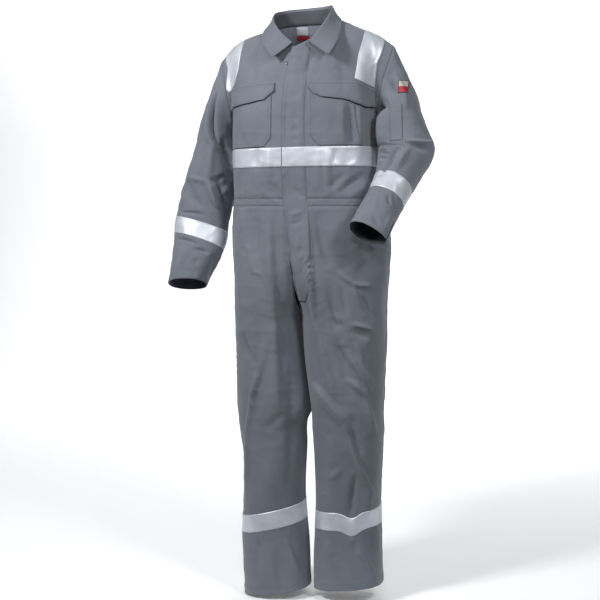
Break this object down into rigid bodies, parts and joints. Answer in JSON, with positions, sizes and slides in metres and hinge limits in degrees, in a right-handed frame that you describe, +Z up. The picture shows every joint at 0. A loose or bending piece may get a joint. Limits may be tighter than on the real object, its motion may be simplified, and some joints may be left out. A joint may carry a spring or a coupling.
{
  "type": "boiler suit",
  "caption": "Long-sleeved work boiler suit with front placket, flapped chest pockets, pointed collar and reflective bands, in worn pose.",
  "frame": {"origin": "between the shoulders at the base of the neck, where the wearer holds the garment", "axes": "+Z up, +X to the wearer's left, the front faces -Y"},
  "size_m": [0.7189, 0.3683, 1.6128],
  "materials": {
    "cloth": "matt twill",
    "tape": "retroreflective silver",
    "patch": "woven",
    "label": "woven",
    "label_band": "woven",
    "metal": "dark oxidised"
  },
  "bodies": {
    "root": {"front_right": "cloth", "front_left": "cloth", "back_upper": "cloth", "waistband_front_right": "cloth", "waistband_front_left": "cloth", "waistband_back": "cloth", "leg_front_right": "cloth", "leg_back_right": "cloth", "leg_front_left": "cloth", "leg_back_left": "cloth", "sleeve_top_right": "cloth", "sleeve_under_right": "cloth", "sleeve_top_left": "cloth", "sleeve_under_left": "cloth", "collar": "cloth", "placket": "cloth", "placket_stud": "metal", "chest_pocket_right": "cloth", "chest_pocket_left": "cloth", "pocket_flap_right": "cloth", "pocket_flap_left": "cloth", "pen_pocket": "cloth", "shoulder_tape_right": "tape", "shoulder_tape_left": "tape", "chest_tape_front_left": "tape", "chest_tape_front_right": "tape", "chest_tape_back": "tape", "sleeve_tape_right": "tape", "sleeve_tape_left": "tape", "leg_tape_right": "tape", "leg_tape_left": "tape", "sleeve_patch": "patch", "neck_label": "label", "neck_label_band": "label_band"}
  },
  "joints": []
}
